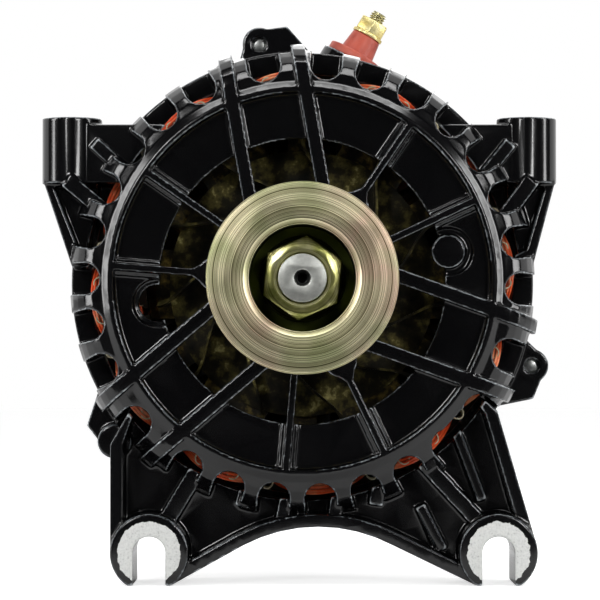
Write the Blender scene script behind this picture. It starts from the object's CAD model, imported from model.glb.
# Engine alternator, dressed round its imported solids: black enamelled housings, zinc pulley and rotor inside.
import math
import random

import bmesh
import bpy
import numpy
from mathutils import Matrix, Vector


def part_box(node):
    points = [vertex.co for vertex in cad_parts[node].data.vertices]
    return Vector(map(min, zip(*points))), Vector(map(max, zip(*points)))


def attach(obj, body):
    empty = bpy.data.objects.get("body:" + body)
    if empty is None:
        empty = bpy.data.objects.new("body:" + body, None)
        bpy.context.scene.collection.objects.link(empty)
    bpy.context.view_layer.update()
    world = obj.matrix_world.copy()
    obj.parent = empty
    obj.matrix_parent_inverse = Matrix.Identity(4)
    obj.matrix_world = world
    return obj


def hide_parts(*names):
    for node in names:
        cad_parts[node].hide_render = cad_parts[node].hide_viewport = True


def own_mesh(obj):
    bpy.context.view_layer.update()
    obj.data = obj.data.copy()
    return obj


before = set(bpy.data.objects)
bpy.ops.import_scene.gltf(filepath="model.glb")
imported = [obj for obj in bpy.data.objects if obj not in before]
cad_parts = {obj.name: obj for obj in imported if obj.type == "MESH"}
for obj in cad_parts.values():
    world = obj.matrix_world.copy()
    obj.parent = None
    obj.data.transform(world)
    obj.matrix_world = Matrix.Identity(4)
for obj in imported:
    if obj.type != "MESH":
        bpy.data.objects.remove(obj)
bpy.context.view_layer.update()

mm = 0.001

# Front housing
# Die-cast aluminium, trimmed, coated in gloss black enamel, then faced bare where it bolts to the
# engine. Casting leaves every edge and corner rounded, so the solid is remeshed and smoothed.


def linear(code):
    """Linear colour of an sRGB hex code."""
    parts = [int(code[i:i + 2], 16) / 255 for i in (1, 3, 5)]
    return [c / 12.92 if c <= 0.04045 else ((c + 0.055) / 1.055) ** 2.4 for c in parts] + [1]


def add(tree, kind, inputs=None, stops=(), **settings):
    """Adds a shader node with its settings, values, links and, on a colour ramp, its stops as pairs of
    a place and a hex colour. Gives its outputs."""
    node = tree.nodes.new("ShaderNode" + kind)
    for key, value in settings.items():
        setattr(node, key, value)
    for key, value in (inputs or {}).items():
        if isinstance(value, bpy.types.NodeSocket):
            tree.links.new(value, node.inputs[key])
        else:
            node.inputs[key].default_value = value
    for i, (place, code) in enumerate(stops):
        band = node.color_ramp.elements
        element = band[i] if i < len(band) else band.new(place)
        element.position = place
        element.color = linear(code)
    return node.outputs


def surface(name, colour, roughness, metallic=0.0):
    """A material with one Principled shader. Its tree and shader are returned with it."""
    material = bpy.data.materials.new(name)
    material.use_nodes = True
    shader = material.node_tree.nodes["Principled BSDF"]
    shader.inputs["Base Color"].default_value = linear(colour)
    shader.inputs["Roughness"].default_value = roughness
    shader.inputs["Metallic"].default_value = metallic
    return material, material.node_tree, shader


def mottle(tree, size, detail=3.0, roughness=0.5):
    """Random patches from 0 to 1, of that size in metres."""
    return add(tree, "TexNoise", {"Vector": add(tree, "TexCoord")["Object"], "Scale": 1 / size,
        "Detail": detail, "Roughness": roughness})["Fac"]


def painted(tree, shader, size, detail, *stops, roughness=0.5):
    """Base colours that change from place to place, in patches of that size."""
    patches = mottle(tree, size, detail, roughness)
    tree.links.new(add(tree, "ValToRGB", {"Fac": patches}, stops)["Color"], shader.inputs["Base Color"])


def uneven_gloss(tree, shader, pattern, low, high):
    """A roughness that follows a pattern, from low to high."""
    tree.links.new(add(tree, "MapRange", {"Value": pattern, "To Min": low, "To Max": high})[0],
        shader.inputs["Roughness"])


def relief(tree, shader, pattern, depth, strength=1.0):
    """Bumps that follow a pattern, of that depth in metres."""
    bump = add(tree, "Bump", {"Height": pattern, "Distance": depth, "Strength": strength})
    tree.links.new(bump["Normal"], shader.inputs["Normal"])


# A Mix node's colour sockets share their names with others, so they go by number.
mix_a, mix_b, mixed = 6, 7, 2
ragged_w, bare_metallic, bare_roughness = 2.4 * mm, 0.2, 0.5


def enamel(name, bare_spots=()):
    """Gloss black enamel with a faint orange peel, pulled thin and grey at the edges. Each bare spot is
    (centre x, centre z, radius, near depth, far depth), turned down to the aluminium in that round."""
    material, tree, shader = surface(name, "#060607", 0.15)
    gloss = add(tree, "MapRange", {"Value": mottle(tree, 18 * mm), "To Min": 0.12, "To Max": 0.19})[0]
    edge = add(tree, "Attribute", attribute_name="edge")["Fac"]
    coat = add(tree, "ValToRGB", {"Fac": edge},
        ((0.3, "#060607"), (0.5, "#484c4f"), (0.8, "#8d9193")))["Color"]
    relief(tree, shader, mottle(tree, 3.5 * mm, 2.0), 0.05 * mm, 0.12)
    if not bare_spots:
        tree.links.new(gloss, shader.inputs["Roughness"])
        tree.links.new(coat, shader.inputs["Base Color"])
        return material
    axes = add(tree, "SeparateXYZ", {0: add(tree, "TexCoord")["Object"]})
    flat = add(tree, "CombineXYZ", {0: axes[0], 2: axes[2]})[0]
    ragged = add(tree, "Math", {0: mottle(tree, 2.2 * mm, 4.0, 0.7), 1: ragged_w, 2: -ragged_w / 2},
        operation="MULTIPLY_ADD")[0]
    bare = 0.0
    for x, z, radius, near, far in bare_spots:
        away = add(tree, "VectorMath", {0: flat, 1: (x, 0, z)}, operation="DISTANCE")["Value"]
        uneven = add(tree, "Math", {0: away, 1: ragged}, operation="ADD")[0]
        inside = add(tree, "Math", {0: uneven, 1: radius}, operation="LESS_THAN")[0]
        deep = add(tree, "Math", {0: axes[1], 1: (near + far) / 2, 2: (far - near) / 2},
            operation="COMPARE")[0]
        spot = add(tree, "Math", {0: inside, 1: deep}, operation="MULTIPLY")[0]
        bare = add(tree, "Math", {0: bare, 1: spot}, operation="MAXIMUM")[0]
    metal = add(tree, "ValToRGB", {"Fac": mottle(tree, 0.6 * mm, 5.0)},
        ((0.26, "#8f908e"), (0.4, "#b7b8b6"), (0.7, "#c4c5c2")))["Color"]
    colour = add(tree, "Mix", {"Factor": bare, mix_a: coat, mix_b: metal}, data_type="RGBA")[mixed]
    tree.links.new(colour, shader.inputs["Base Color"])
    tree.links.new(add(tree, "Math", {0: bare, 1: bare_metallic}, operation="MULTIPLY")[0],
        shader.inputs["Metallic"])
    tree.links.new(add(tree, "Mix", {0: bare, 2: gloss, 3: bare_roughness})[0], shader.inputs["Roughness"])
    return material


def finished(name, mesh, material, body, slot, *nodes):
    """Puts a finished mesh in the scene as a piece on a body, in place of CAD nodes."""
    mesh.materials.clear()
    mesh.materials.append(material)
    piece = bpy.data.objects.new(name, mesh)
    bpy.context.scene.collection.objects.link(piece)
    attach(piece, body)
    if nodes:
        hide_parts(*nodes)
    return piece


def merged(node):
    """A working copy of a CAD node with its loose triangles joined."""
    form = bmesh.new()
    form.from_mesh(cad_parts[node].data)
    bmesh.ops.remove_doubles(form, verts=form.verts, dist=2e-6)
    return form


def as_mesh(name, form, smooth=40):
    """The mesh of a form, with smooth shading up to that many degrees between faces."""
    mesh = bpy.data.meshes.new(name)
    form.to_mesh(mesh)
    form.free()
    mesh.shade_smooth()
    if smooth:
        mesh.set_sharp_from_angle(angle=math.radians(smooth))
    return mesh


def shaped(name, form, material, body, slot, *nodes, smooth=40):
    """Puts a form in the scene as a piece on a body, in place of CAD nodes."""
    return finished(name, as_mesh(name, form, smooth), material, body, slot, *nodes)


def column(items, key, kind=float, width=1):
    """One property of all the vertices, edges, loops or faces of a mesh, as an array."""
    values = numpy.empty(len(items) * width, kind)
    items.foreach_get(key, values)
    return values.reshape(-1, width) if width > 1 else values


edge_r = 1.0 * mm
edge_rounds = 3
shortest_step = 1e-12
flat_bend, bend_range = 0.15, 0.25


def mark_edges(mesh):
    """Stores how sharp each outer edge is, from 0 on flat faces to 1 where enamel pulls thin."""
    count = len(mesh.vertices)
    spots, normals = column(mesh.vertices, "co", width=3), column(mesh.vertices, "normal", width=3)
    ends = column(mesh.edges, "vertices", int, 2)
    step = spots[ends[:, 0]] - spots[ends[:, 1]]
    swing = normals[ends[:, 0]] - normals[ends[:, 1]]
    sharp = bend = (step * swing).sum(1) / numpy.maximum((step * step).sum(1), shortest_step) * edge_r
    for _ in range(edge_rounds):
        total, number = numpy.zeros(count), numpy.zeros(count)
        for side in (0, 1):
            numpy.add.at(total, ends[:, side], bend)
            numpy.add.at(number, ends[:, side], 1)
        level = total / numpy.maximum(number, 1)
        bend = (level[ends[:, 0]] + level[ends[:, 1]]) / 2
    corners, sides = column(mesh.loops, "vertex_index", int), column(mesh.loops, "edge_index", int)
    starts, sizes = column(mesh.polygons, "loop_start", int), column(mesh.polygons, "loop_total", int)
    face_bend = numpy.add.reduceat(sharp[sides], starts) / sizes
    curved = numpy.repeat(numpy.clip((face_bend - flat_bend) / bend_range, 0, 1), sizes)
    edge = mesh.attributes.new("edge", "FLOAT", "CORNER")
    edge.data.foreach_set("value", numpy.clip(level[corners] * curved, 0, 1))


cast_voxel, cast_rounds = 0.45 * mm, 4


def cast_mesh(name, node, triangles):
    """The node's solid with the soft edges of a casting, in no more than that many triangles."""
    work = bpy.data.objects.new(name + "_work", as_mesh(name, merged(node), 0))
    bpy.context.scene.collection.objects.link(work)
    remesh = work.modifiers.new("remesh", "REMESH")
    remesh.mode = "VOXEL"
    remesh.voxel_size = cast_voxel
    soften = work.modifiers.new("soften", "SMOOTH")
    soften.factor = 0.5
    soften.iterations = cast_rounds
    graph = bpy.context.evaluated_depsgraph_get()
    mesh = bpy.data.meshes.new_from_object(work.evaluated_get(graph))
    bpy.data.objects.remove(work)
    work = bpy.data.objects.new(name + "_work", mesh)
    bpy.context.scene.collection.objects.link(work)
    thin = work.modifiers.new("thin", "DECIMATE")
    thin.ratio = min(1, triangles / (2 * len(mesh.polygons)))
    graph = bpy.context.evaluated_depsgraph_get()
    result = bpy.data.meshes.new_from_object(work.evaluated_get(graph))
    bpy.data.objects.remove(work)
    result.shade_smooth()
    mark_edges(result)
    return result


ear_bare_r, ear_bare_depth = 10.6 * mm, 0.6 * mm
ear_places = [(-51.6 * mm, -91.4 * mm), (66 * mm, -91.4 * mm)]
ear_front, ear_back = 28 * mm, 58 * mm
bare_spots = [(x, z, ear_bare_r, y - ear_bare_depth, y + ear_bare_depth)
    for x, z in ear_places for y in (ear_front, ear_back)]
front_enamel = enamel("gloss_black_enamel_faced_ears", bare_spots)
front_triangles = 198000
finished("front_housing_cast", cast_mesh("front_housing_cast", "front_housing", front_triangles),
    front_enamel, "root", "cast_housing", "front_housing")

# Rear housing
# The second die-casting, in the same enamel, that carries the rear bearing, rectifier and regulator.
rear_enamel = enamel("gloss_black_enamel_plain")
rear_triangles = 180000
finished("rear_housing_cast", cast_mesh("rear_housing_cast", "rear_housing", rear_triangles),
    rear_enamel, "root", "cast_housing", "rear_housing")

# Stator core
# A stack of thin electrical steel sheets, varnished brown-black. The sheets are 0.5 mm thick and are
# drawn at 1 mm, because finer lines don't show.


def dressed(material, *names):
    """Gives CAD nodes that stay in view their material."""
    for name in names:
        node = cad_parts[name]
        if not node.material_slots:
            node.data.materials.append(material)
        for holder in node.material_slots:
            holder.material = material


sheet_pitch = 1.0 * mm
# The varnish dulls the steel, and the sheets' edges show as fine dark lines.
stack_steel, tree, shader = surface("varnished_sheet_steel", "#3a3834", 0.42, 0.85)
depth = add(tree, "SeparateXYZ", {0: add(tree, "TexCoord")["Object"]})[1]
phases = add(tree, "Math", {0: depth, 1: 2 * math.pi / sheet_pitch}, operation="MULTIPLY")[0]
lines = add(tree, "Math", {0: phases}, operation="SINE")[0]
varnish = add(tree, "Mix", {"Factor": mottle(tree, 6 * mm, 5.0), mix_a: linear("#2b2722"),
    mix_b: linear("#5b554b")}, data_type="RGBA")[mixed]
tree.links.new(varnish, shader.inputs["Base Color"])
relief(tree, shader, lines, 0.06 * mm, 0.8)
dressed(stack_steel, "stator_core")

# Stator windings
# Enamelled copper wire, wound as twelve humps to a phase that dip into the slots at both ends of the
# stack. In front, the outer phase leans out over the case's band, where the cooling slots show it.
wire_r = 0.42 * mm
wire_rows, wire_columns = 6, 3
row_pitch, column_pitch, first_column = 1.6, 1.25, 0.7
loose_r, loose_bulge, loose_depth = 0.2, 0.3, 0.25
humps, hump_points, hump_power = 12, 14, 0.7
slot_step, slots_per_hump = math.radians(10), 3
bar_out, bar_middle, bar_size = 61.5 * mm, 80 * mm, (10.2 * mm, 39 * mm, 4.1 * mm, 1)
# Clear enamel over bright copper: orange red, with soft pale glints.
copper_wire, tree, shader = surface("enamelled_copper_wire", "#f0682f", 0.3)
painted(tree, shader, 7 * mm, 3.0, (0.3, "#e2461b"), (0.5, "#f9693a"), (0.7, "#ffb486"))


def wire_ring(spline, radius, turn, dip, peak, spread, lean):
    """One wire round a coil head, with a dip at every third slot."""
    total = humps * hump_points
    spline.points.add(total - 1)
    for i, point in enumerate(spline.points):
        angle = 2 * math.pi * i / total
        rise = abs(math.sin(humps * (angle - turn) / 2)) ** hump_power
        reach = radius + spread * rise
        y = dip + (peak - dip) * rise + lean
        point.co = (reach * math.cos(angle), y, reach * math.sin(angle), 1)
    spline.use_cyclic_u = True


def winding_mesh(name, heads, phase, seed):
    """The coil heads of one phase. Each head is its depth in the slots and at its peak, its inner radius
    and how far its outermost wires lean out, in mm."""
    draw = random.Random(seed)
    curve = bpy.data.curves.new(name, "CURVE")
    curve.dimensions = "3D"
    curve.bevel_depth = wire_r
    curve.bevel_resolution = 1
    for dip, peak, inner_r, bulge in heads:
        way = 1 if peak > dip else -1
        for k in range(wire_rows * wire_columns):
            row, place = divmod(k, wire_columns)
            out = inner_r + first_column + column_pitch * place + draw.uniform(-loose_r, loose_r)
            top = peak - way * row * row_pitch
            spread = bulge * (1 - row / wire_rows) + draw.uniform(-loose_bulge, loose_bulge)
            lean = draw.uniform(-loose_depth, loose_depth)
            spline = curve.splines.new("POLY")
            wire_ring(spline, out * mm, slot_step * phase, dip * mm, top * mm, spread * mm, lean * mm)
    work = bpy.data.objects.new(name, curve)
    bpy.context.scene.collection.objects.link(work)
    graph = bpy.context.evaluated_depsgraph_get()
    mesh = bpy.data.meshes.new_from_object(work.evaluated_get(graph))
    bpy.data.objects.remove(work)
    form = bmesh.new()
    form.from_mesh(mesh)
    for i in range(humps):
        turn = slot_step * (slots_per_hump * i + phase)
        middle = Matrix.Rotation(-turn, 4, "Y") @ Matrix.Translation((bar_out, bar_middle, 0))
        bmesh.ops.create_cube(form, size=1, matrix=middle @ Matrix.Diagonal(bar_size))
    form.to_mesh(mesh)
    form.free()
    mesh.shade_smooth()
    mesh.set_sharp_from_angle(angle=math.radians(50))
    return mesh


winding_heads = {
    "a": ((61, 51.2, 56.6, 0.4), (99, 111.8, 56.6, 0.4)),
    "b": ((61, 51.2, 61.1, 0.4), (99, 111.8, 61.1, 0.4)),
    "c": ((61, 45.8, 64.9, 4.6), (99, 111.8, 66.8, 1.4)),
}
first_seed = 11
for phase, (letter, heads) in enumerate(winding_heads.items()):
    node = "phase_winding_" + letter
    finished(node + "_wires", winding_mesh(node + "_wires", heads, phase, first_seed + phase), copper_wire,
        "root", "copper", node)

# Slot liners
# Cream insulating paper, folded into every slot. Its cuffs stand out round the wires at both ends.
# Uncoated paper is matt, with a faint grain of fibres.
paper, tree, shader = surface("cream_insulating_paper", "#d9cfae", 0.75)
painted(tree, shader, 1.5 * mm, 6.0, (0.3, "#bfb28a"), (0.7, "#e6dec4"))
relief(tree, shader, mottle(tree, 0.7 * mm, 4.0), 0.03 * mm)
dressed(paper, "slot_liners")
cuff_r, cuff_flat, cuff_wall, cuff_out = 2.8 * mm, 0.8, 0.4 * mm, 69.0 * mm
cuff_depths = ((46.6 * mm, 61.6 * mm), (98.4 * mm, 109.0 * mm))
form = bmesh.new()
for near, far in cuff_depths:
    for i in range(slots_per_hump * humps):
        spot = Matrix.Rotation(-slot_step * i, 4, "Y") @ Matrix.Translation((cuff_out, (near + far) / 2, 0))
        bmesh.ops.create_cone(form, segments=14, radius1=cuff_r, radius2=cuff_r, depth=far - near,
            matrix=spot @ Matrix.Rotation(math.pi / 2, 4, "X") @ Matrix.Diagonal((1, cuff_flat, 1, 1)))
bmesh.ops.solidify(form, geom=list(form.faces), thickness=cuff_wall)
shaped("slot_cuffs", form, paper, "root", "paper", smooth=50)

# Pulley
# Turned from steel bar and plated with yellow-passivated zinc: pale greenish gold with pink and green
# tints, and fine turning rings on its front. Six vee grooves carry the ribbed belt.


def spun(points, steps=144):
    """A closed ring spun about the shaft from (radius, depth) points in millimetres."""
    form = bmesh.new()
    corners = [form.verts.new((r * mm, y * mm, 0)) for r, y in points]
    edges = [form.edges.new((a, b)) for a, b in zip(corners, corners[1:] + corners[:1])]
    bmesh.ops.spin(form, geom=corners + edges, cent=(0, 0, 0), axis=(0, 1, 0), angle=2 * math.pi,
        steps=steps, use_merge=True)
    bmesh.ops.remove_doubles(form, verts=form.verts, dist=1e-6)
    bmesh.ops.recalc_face_normals(form, faces=form.faces)
    return form


def softened(form, width, segments=2, sharp=30):
    """Breaks the sharp edges, as a deburring tool does."""
    bmesh.ops.dissolve_limit(form, angle_limit=math.radians(0.6), verts=form.verts, edges=form.edges)
    edges = [e for e in form.edges if len(e.link_faces) == 2 and e.calc_face_angle(0) > math.radians(sharp)]
    bmesh.ops.bevel(form, geom=edges, offset=width, offset_type="OFFSET", segments=segments,
        profile=0.5, affect="EDGES", clamp_overlap=True, material=-1)
    return form


def around_shaft(tree):
    """Distance from the shaft's axis in metres."""
    axes = add(tree, "SeparateXYZ", {0: add(tree, "TexCoord")["Object"]})
    flat = add(tree, "CombineXYZ", {0: axes[0], 2: axes[2]})[0]
    return add(tree, "VectorMath", {0: flat}, operation="LENGTH")["Value"]


def turning(tree, radius, pitch, detail=2.0):
    """Rings round the shaft, as wide as that pitch."""
    return add(tree, "TexNoise", {"W": radius, "Scale": 1 / pitch, "Detail": detail, "Roughness": 0.6},
        noise_dimensions="1D")["Fac"]


def ringed(tree, colour, rings, share, *stops):
    """A colour dimmed along turning rings to the stops' colours, by that share."""
    shade = add(tree, "ValToRGB", {"Fac": rings}, stops)["Color"]
    return add(tree, "Mix", {"Factor": share, mix_a: colour, mix_b: shade}, data_type="RGBA",
        blend_type="MULTIPLY")[mixed]


recess_r, recess_depth = 17.5 * mm, -11.6 * mm
zinc_turned, tree, shader = surface("turned_yellow_zinc", "#cbc6a0", 0.3, 1.0)
radius = around_shaft(tree)
fine = turning(tree, radius, 0.32 * mm)
broad = turning(tree, radius, 1.1 * mm)
bands = turning(tree, radius, 4 * mm, 1.0)
tint = add(tree, "ValToRGB", {"Fac": mottle(tree, 26 * mm, 2.0)},
    ((0.32, "#ccd19f"), (0.46, "#fff6d0"), (0.6, "#f5d8c0"), (0.74, "#cdd6a8")))["Color"]
tint = ringed(tree, tint, fine, 0.9, (0.4, "#6f6b50"), (0.55, "#ffffff"))
tint = ringed(tree, tint, broad, 0.5, (0.36, "#7a7556"), (0.54, "#ffffff"))
tint = ringed(tree, tint, bands, 0.4, (0.35, "#8b8561"), (0.55, "#ffffff"))
depth = add(tree, "SeparateXYZ", {0: add(tree, "TexCoord")["Object"]})[1]
inner = add(tree, "Math", {0: radius, 1: recess_r}, operation="LESS_THAN")[0]
behind = add(tree, "Math", {0: depth, 1: recess_depth}, operation="GREATER_THAN")[0]
recess = add(tree, "Math", {0: inner, 1: behind}, operation="MULTIPLY")[0]
tint = add(tree, "Mix", {"Factor": recess, mix_a: tint, mix_b: linear("#2c3112")}, data_type="RGBA")[mixed]
tree.links.new(tint, shader.inputs["Base Color"])
uneven_gloss(tree, shader, fine, 0.3, 0.5)
relief(tree, shader, fine, 0.02 * mm, 0.7)
groove_pitch, groove_count, groove_depth = 3.56, 6, 3.0
groove_half_top, groove_half_floor = 1.43, 0.5
pulley_r, pulley_half_w = 31.25, 13.5
bore_r, recess_wall_r, recess_floor = 8.55, 17.25, 4
back_bevel, front_bevel, recess_bevel = (1.5, 1.0), (0.6, 0.6), 2.0
profile = [(bore_r, recess_floor), (bore_r, pulley_half_w), (pulley_r - back_bevel[0], pulley_half_w),
    (pulley_r, pulley_half_w - back_bevel[1])]
for i in reversed(range(groove_count)):
    middle = groove_pitch * (i + 0.5 - groove_count / 2)
    profile += [(pulley_r, middle + groove_half_top), (pulley_r - groove_depth, middle + groove_half_floor),
        (pulley_r - groove_depth, middle - groove_half_floor), (pulley_r, middle - groove_half_top)]
profile += [(pulley_r, front_bevel[1] - pulley_half_w), (pulley_r - front_bevel[0], -pulley_half_w),
    (recess_wall_r + recess_bevel, -pulley_half_w), (recess_wall_r, recess_bevel - pulley_half_w),
    (recess_wall_r, recess_floor)]
shaped("pulley_turned", softened(spun(profile), 0.22 * mm, sharp=24), zinc_turned, "rotor", "zinc", "pulley")

# Pulley nut
# A hexagon nut with a flange, forged, threaded M16 and plated as the pulley is, brighter and greener.
zinc_nut, tree, shader = surface("yellow_zinc_on_nut", "#8f8f55", 0.3, 1.0)
radius = around_shaft(tree)
plating = add(tree, "ValToRGB", {"Fac": mottle(tree, 6 * mm, 3.0)},
    ((0.3, "#8b8f4b"), (0.5, "#bfbd78"), (0.7, "#e8e5ae")))["Color"]
rings = turning(tree, radius, 0.5 * mm)
plating = ringed(tree, plating, rings, 0.7, (0.38, "#77754c"), (0.55, "#ffffff"))
rim_r, rim_half_w, nut_turn = 8.85 * mm, 0.4 * mm, math.radians(-10)
rim = add(tree, "Math", {0: radius, 1: rim_r, 2: rim_half_w}, operation="COMPARE")[0]
plating = add(tree, "Mix", {"Factor": rim, mix_a: plating, mix_b: linear("#e2dfae")}, data_type="RGBA")[mixed]
tree.links.new(plating, shader.inputs["Base Color"])
relief(tree, shader, mottle(tree, 1.2 * mm, 4.0), 0.03 * mm)
nut_form = softened(merged("pulley_nut"), 0.28 * mm, 3)
bmesh.ops.rotate(nut_form, verts=nut_form.verts, matrix=Matrix.Rotation(nut_turn, 3, "Y"))
shaped("pulley_nut_plated", nut_form, zinc_nut, "rotor", "zinc", "pulley_nut")

# Shaft, bearing retainer, screws and bolts
# Ground steel shaft with a centre drilled in its end, and bright zinc-plated screws and stampings.
centre_r, hole_r = 2.75 * mm, 1.6 * mm
# Fine grinding rings give the end a soft grey sheen, dark where its centre is drilled.
ground_steel, tree, shader = surface("ground_shaft_steel", "#a9aaa4", 0.3, 1.0)
radius = around_shaft(tree)
rings = turning(tree, radius, 0.35 * mm)
steel = add(tree, "Mix", {"Factor": mottle(tree, 1.2 * mm, 5.0), mix_a: linear("#a0a29d"),
    mix_b: linear("#cfd0ca")}, data_type="RGBA")[mixed]
for limit, dark in ((centre_r, "#4a4b48"), (hole_r, "#040404")):
    sunk = add(tree, "Math", {0: radius, 1: limit}, operation="LESS_THAN")[0]
    steel = add(tree, "Mix", {"Factor": sunk, mix_a: steel, mix_b: linear(dark)}, data_type="RGBA")[mixed]
tree.links.new(steel, shader.inputs["Base Color"])
uneven_gloss(tree, shader, rings, 0.35, 0.5)
relief(tree, shader, rings, 0.02 * mm, 0.6)
shaped("shaft_ground", softened(merged("shaft"), 0.3 * mm), ground_steel, "rotor", "bright_steel", "shaft")
# Bright zinc plate is pale grey and a little cloudy.
white_zinc, tree, shader = surface("bright_zinc_plate", "#b4b7b6", 0.3, 1.0)
painted(tree, shader, 2.5 * mm, 4.0, (0.3, "#8e9190"), (0.7, "#cfd1cd"))
relief(tree, shader, mottle(tree, 0.9 * mm, 3.0), 0.02 * mm)
for node in ("through_bolts", "bearing_retainer", "retainer_screws", "rectifier_screws", "regulator_screws"):
    shaped(node + "_plated", softened(merged(node), 0.22 * mm), white_zinc, "root", "bright_steel", node)
# Ground and lapped, so it mirrors its surroundings.
race_steel, tree, shader = surface("ground_bearing_steel", "#b9bbbb", 0.18, 1.0)
uneven_gloss(tree, shader, mottle(tree, 1.5 * mm), 0.12, 0.26)
dressed(race_steel, "front_bearing_outer_race", "front_bearing_inner_race", "front_bearing_balls",
    "rear_bearing_outer_race", "rear_bearing_inner_race", "rear_bearing_balls", "pulley_collar")

# Bearing cages and seals
# Pressed brass cages between the balls, and black nitrile rubber seals pressed over them.
# Pressed brass is yellow, tarnished brown in patches.
brass, tree, shader = surface("pressed_brass", "#b5904a", 0.32, 1.0)
painted(tree, shader, 4 * mm, 4.0, (0.3, "#8f6d34"), (0.7, "#d0aa5e"))
dressed(brass, "front_bearing_cage", "rear_bearing_cage", "connector_pins")
# Rubber is a soft, matt black.
rubber, tree, shader = surface("nitrile_rubber", "#1c1c1c", 0.62)
relief(tree, shader, mottle(tree, 0.8 * mm, 4.0), 0.03 * mm)
dressed(rubber, "front_bearing_seals", "rear_bearing_seals")

# Rotor poles and core
# Forged low-carbon steel, dipped in thin brown varnish that has pooled unevenly with oil and rust.
pole_steel, tree, shader = surface("varnished_forged_steel", "#4a4124", 0.4, 0.5)
painted(tree, shader, 5 * mm, 6.0, (0.36, "#090703"), (0.5, "#211c0d"), (0.62, "#5e5021"), (0.74, "#b89d4d"),
    roughness=0.65)
uneven_gloss(tree, shader, mottle(tree, 2 * mm, 4.0), 0.3, 0.65)
relief(tree, shader, mottle(tree, 1.6 * mm, 5.0), 0.12 * mm)
dressed(pole_steel, "front_claw_pole", "rear_claw_pole", "rotor_core")

# Field coil
# Enamelled wire wound on a moulded bobbin, with two leads that run to the slip rings.
dressed(copper_wire, "field_coil", "field_leads")
# Moulded nylon is cream, with a low, uneven sheen.
bobbin, tree, shader = surface("moulded_nylon_bobbin", "#c9bf9a", 0.5)
uneven_gloss(tree, shader, mottle(tree, 3 * mm), 0.4, 0.6)
dressed(bobbin, "coil_bobbin")

# Fans
# Pressed sheet steel, riveted to the poles and plated olive zinc, mottled by heat and dirt.
fan_plate, tree, shader = surface("olive_zinc_sheet", "#77713f", 0.35, 0.55)
painted(tree, shader, 7 * mm, 6.0, (0.36, "#080703"), (0.5, "#242010"), (0.62, "#5f572b"), (0.72, "#cdc27d"),
    roughness=0.6)
relief(tree, shader, mottle(tree, 1.4 * mm, 4.0), 0.05 * mm)
dressed(fan_plate, "front_fan", "rear_fan")

# Slip rings and brushes
# Copper rings on a moulded sleeve, with two carbon brushes that springs press against them. Springs
# and leads get shorter, towards the holder's back, by the brushes' 6 mm slide and a little play.
# The brushes keep the rings polished, with fine dull streaks.
ring_copper, tree, shader = surface("polished_slip_ring_copper", "#b8623a", 0.22, 1.0)
uneven_gloss(tree, shader, mottle(tree, 2 * mm), 0.15, 0.35)
dressed(ring_copper, "slip_ring_a", "slip_ring_b", "phase_leads")
# Glass fibres in the nylon leave a fine, dull grain on the black.
moulded, tree, shader = surface("glass_filled_black_nylon", "#1d1e20", 0.5)
uneven_gloss(tree, shader, mottle(tree, 5 * mm), 0.42, 0.6)
relief(tree, shader, mottle(tree, 0.6 * mm, 3.0), 0.03 * mm)
dressed(moulded, "slip_ring_sleeve", "terminal_board")
# Pressed carbon is dark grey, with a faint metallic grain.
carbon, tree, shader = surface("pressed_carbon", "#2e2e30", 0.55, 0.3)
relief(tree, shader, mottle(tree, 0.5 * mm, 5.0), 0.04 * mm)
dressed(carbon, "brush_a", "brush_b")
for letter in "ab":
    for node, material, slot in (("brush_spring_" + letter, race_steel, "bright_steel"),
            ("brush_lead_" + letter, ring_copper, "copper")):
        low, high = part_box(node)
        piece = shaped(node + "_folding", merged(node), material, "root", slot, node)
        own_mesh(piece)

# Rectifier
# Two aluminium heat sinks with six pressed-in diodes. The board that joins them is the nylon above.
# Brushed plate is pale grey, with a soft, slightly cloudy sheen.
plate_aluminium, tree, shader = surface("brushed_aluminium_plate", "#a8abad", 0.38, 1.0)
painted(tree, shader, 4 * mm, 5.0, (0.3, "#8a8d90"), (0.7, "#bfc2c3"))
dressed(plate_aluminium, "positive_heat_sink", "negative_heat_sink")
# Nickel plate is a smooth, warm grey.
diode_case, tree, shader = surface("nickel_plated_diode", "#8d8a84", 0.3, 1.0)
uneven_gloss(tree, shader, mottle(tree, 2 * mm), 0.22, 0.4)
dressed(diode_case, "diodes")

# Regulator
# A moulded nylon case with the plug socket in one piece, the brush holder in the same nylon, and a
# finned die-cast aluminium cover.
shaped("regulator_case", softened(merged("regulator_housing"), 0.5 * mm, 3), moulded, "root", "black_plastic",
    "regulator_housing")
shaped("brush_holder_case", softened(merged("brush_holder"), 0.3 * mm), moulded, "root", "black_plastic",
    "brush_holder")
# Bead blasting leaves the casting an even, dull grey.
cover_cast, tree, shader = surface("bead_blasted_cast_cover", "#9b9ea0", 0.48, 1.0)
painted(tree, shader, 3 * mm, 5.0, (0.3, "#7f8284"), (0.7, "#adb0b0"))
relief(tree, shader, mottle(tree, 0.5 * mm, 3.0), 0.04 * mm)
shaped("regulator_cover_cast", softened(merged("regulator_cover"), 0.4 * mm), cover_cast, "root", "aluminium",
    "regulator_cover")

# Battery terminal
# A threaded steel stud in a moulded red insulator, with a brass washer and a brass hexagon nut.
# Phenolic moulding is brick red, with a soft sheen.
red_moulding, tree, shader = surface("red_phenolic_moulding", "#a2412f", 0.42)
painted(tree, shader, 6 * mm, 4.0, (0.3, "#8f3527"), (0.7, "#b4523f"))
relief(tree, shader, mottle(tree, 0.9 * mm, 3.0), 0.04 * mm)
shaped("stud_insulator_moulded", softened(merged("stud_insulator"), 0.5 * mm, 3), red_moulding, "root",
    "red_plastic", "stud_insulator")
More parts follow.
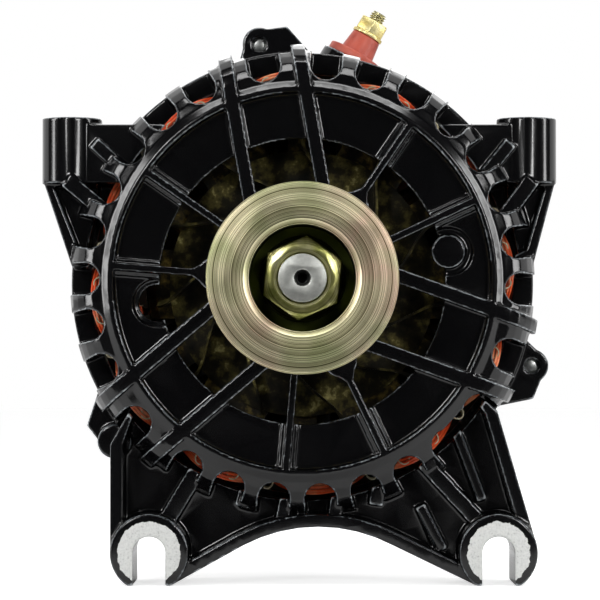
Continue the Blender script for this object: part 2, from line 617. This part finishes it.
# Freshly turned brass is a pale, bright yellow.
nut_brass, tree, shader = surface("yellow_brass_nut", "#e3cf86", 0.36, 0.8)
painted(tree, shader, 4 * mm, 3.0, (0.3, "#d2bb6c"), (0.7, "#f2e7ad"))
for node, width in (("stud_washer", 0.2), ("stud_nut", 0.35)):
    shaped(node + "_brass", softened(merged(node), width * mm), nut_brass, "root", "brass", node)
stud_r, thread_pitch, thread_depth, thread_steps = 3.0 * mm, 1.0 * mm, 0.55 * mm, 24
core_r, root_r, crest_r = stud_r - thread_depth, stud_r - thread_depth * 1.2, stud_r - 0.05 * mm
crest_from, crest_to, ridge_to = 0.42, 0.5, 0.92
thread_start, thread_short = 0.1 * mm, 1.2 * mm
# Thin zinc over steel gives the crests of the thread a pale yellow gleam.
stud_steel, tree, shader = surface("zinc_plated_stud", "#c2b98a", 0.28, 1.0)
painted(tree, shader, 3 * mm, 3.0, (0.3, "#9d9568"), (0.7, "#d8d2ab"))
stud_angle = math.radians(60)
stud_from, stud_to, stud_depth, stud_side = 61.5 * mm, 101.7 * mm, 117.2 * mm, 25.8 * mm
along = Vector((math.cos(stud_angle), 0, math.sin(stud_angle)))
beside = Vector((-math.sin(stud_angle), 0, math.cos(stud_angle))) * stud_side
middle = along * (stud_from + stud_to) / 2 + beside + Vector((0, stud_depth, 0))
turn = Vector((0, 0, 1)).rotation_difference(along).to_matrix().to_4x4()
form = bmesh.new()
bmesh.ops.create_cone(form, cap_ends=True, segments=32, radius1=core_r, radius2=core_r,
    depth=stud_to - stud_from)
turns = int((stud_to - stud_from - thread_short) / thread_pitch)
steps = turns * thread_steps
low = -(stud_to - stud_from) / 2 + thread_start
ridge = [form.verts.new((r, 0, low + thread_pitch * share)) for r, share in
    ((root_r, 0), (crest_r, crest_from), (crest_r, crest_to), (root_r, ridge_to))]
face = form.faces.new(ridge)
bmesh.ops.spin(form, geom=[face] + list(face.edges) + ridge, cent=(0, 0, 0), axis=(0, 0, 1),
    dvec=(0, 0, thread_pitch * turns / steps), angle=2 * math.pi * turns, steps=steps, use_merge=False)
bmesh.ops.recalc_face_normals(form, faces=form.faces)
bmesh.ops.transform(form, matrix=Matrix.Translation(middle) @ turn, verts=form.verts)
shaped("battery_stud_threaded", form, stud_steel, "root", "bright_steel", "battery_stud", smooth=30)

# Studio
# A white sweep under the ears, tall softboxes at the sides, one above and two small lamps in front. A
# dark tent round the front, which only reflections see, keeps the enamel black as in the photograph.
scene = bpy.context.scene


def studio_card(name, form, material):
    """Puts a form in the studio, as no piece of the alternator."""
    mesh = bpy.data.meshes.new(name)
    form.to_mesh(mesh)
    form.free()
    mesh.materials.append(material)
    card = bpy.data.objects.new(name, mesh)
    scene.collection.objects.link(card)
    return card


floor_z, floor_size, floor_glow = -102.6 * mm, 4, 0.65
floor_white, tree, shader = surface("white_paper_sweep", "#f4f4f4", 0.9)
ray = add(tree, "LightPath")["Is Camera Ray"]
strength = add(tree, "Math", {0: ray, 1: floor_glow}, operation="MULTIPLY")[0]
glow = add(tree, "Emission", {"Strength": strength})[0]
both = add(tree, "AddShader", {0: shader.outputs[0], 1: glow})[0]
tree.links.new(both, tree.nodes["Material Output"].inputs["Surface"])
form = bmesh.new()
bmesh.ops.create_grid(form, x_segments=1, y_segments=1, size=floor_size,
    matrix=Matrix.Translation((0, 0, floor_z)))
floor = studio_card("floor", form, floor_white)

black_velvet = surface("black_velvet", "#0a0a0b", 1.0)[0]
tent_r, tent_opening = 1.7, 0.3
form = bmesh.new()
bmesh.ops.create_uvsphere(form, u_segments=48, v_segments=24, radius=tent_r)
bmesh.ops.bisect_plane(form, geom=list(form.verts) + list(form.edges) + list(form.faces), dist=0.0001,
    plane_co=(0, tent_opening, 0), plane_no=(0, 1, 0), clear_outer=True)
tent = studio_card("dark_tent", form, black_velvet)
mat_from, mat_to, mat_half_w, mat_lift = -1.6, -0.13, 0.9, 0.5 * mm
form = bmesh.new()
form.faces.new([form.verts.new((x, y, floor_z + mat_lift)) for x, y in
    ((-mat_half_w, mat_from), (mat_half_w, mat_from), (mat_half_w, mat_to), (-mat_half_w, mat_to))])
mat = studio_card("dark_mat", form, black_velvet)
for card in (tent, mat):
    for kind in ("camera", "diffuse", "shadow", "transmission"):
        setattr(card, "visible_" + kind, False)

world_fill, world_seen = 0.3, 1.0
world = bpy.data.worlds.new("studio")
scene.world = world
world.use_nodes = True
tree = world.node_tree
path = add(tree, "LightPath")
mirrored = add(tree, "Math", {0: path["Is Glossy Ray"], 1: path["Is Transmission Ray"]},
    operation="MAXIMUM")[0]
seen = add(tree, "Math", {0: path["Is Camera Ray"], 1: mirrored}, operation="MAXIMUM")[0]
background = tree.nodes["Background"]
background.inputs["Color"].default_value = (1, 1, 1, 1)
strength = add(tree, "MapRange", {"Value": seen, "To Min": world_fill, "To Max": world_seen})[0]
tree.links.new(strength, background.inputs["Strength"])


def softbox(name, place, aim, width, height, watts):
    """A lamp with a white front of that width and height in metres, facing the aim."""
    lamp = bpy.data.lights.new(name, "AREA")
    lamp.shape = "RECTANGLE"
    lamp.size, lamp.size_y, lamp.energy = width, height, watts
    holder = bpy.data.objects.new(name, lamp)
    holder.location = place
    holder.rotation_euler = (Vector(aim) - Vector(place)).to_track_quat("-Z", "Y").to_euler()
    scene.collection.objects.link(holder)


softbox("left_strip", (-0.8, -0.2, 0.1), (0, 0.03, 0), 0.14, 1.0, 4.6)
softbox("right_strip", (0.8, -0.2, 0.1), (0, 0.03, 0), 0.14, 1.0, 4.3)
softbox("top_strip", (0.0, -0.2, 0.85), (0, 0.05, 0), 1.0, 0.14, 4.0)
softbox("back_softbox", (0.2, 0.9, 0.5), (0, 0.1, 0), 0.8, 0.5, 2.5)
softbox("front_left_lamp", (-0.45, -1.0, 0.4), (0, 0.03, 0), 0.16, 0.3, 3.3)
softbox("front_right_lamp", (0.5, -1.0, 0.3), (0, 0.03, 0), 0.16, 0.3, 2.9)
softbox("front_fill", (0.05, -1.2, 0.2), (0, 0.03, 0), 0.3, 0.3, 3.0)
bpy.data.objects["front_fill"].visible_glossy = False

camera_distance, camera_drop, sensor_w, lens = 0.95, 0.028, 36, 174.4
camera_data = bpy.data.cameras.new("camera")
camera_data.sensor_width = sensor_w
camera_data.lens = lens
camera = bpy.data.objects.new("camera", camera_data)
camera.location = (0, -camera_distance, -camera_drop)
target = Vector((-0.00077, -0.0135, -0.00722))
camera.rotation_euler = (target - camera.location).to_track_quat("-Z", "Y").to_euler()
scene.collection.objects.link(camera)
scene.camera = camera
scene.view_settings.view_transform = "Standard"
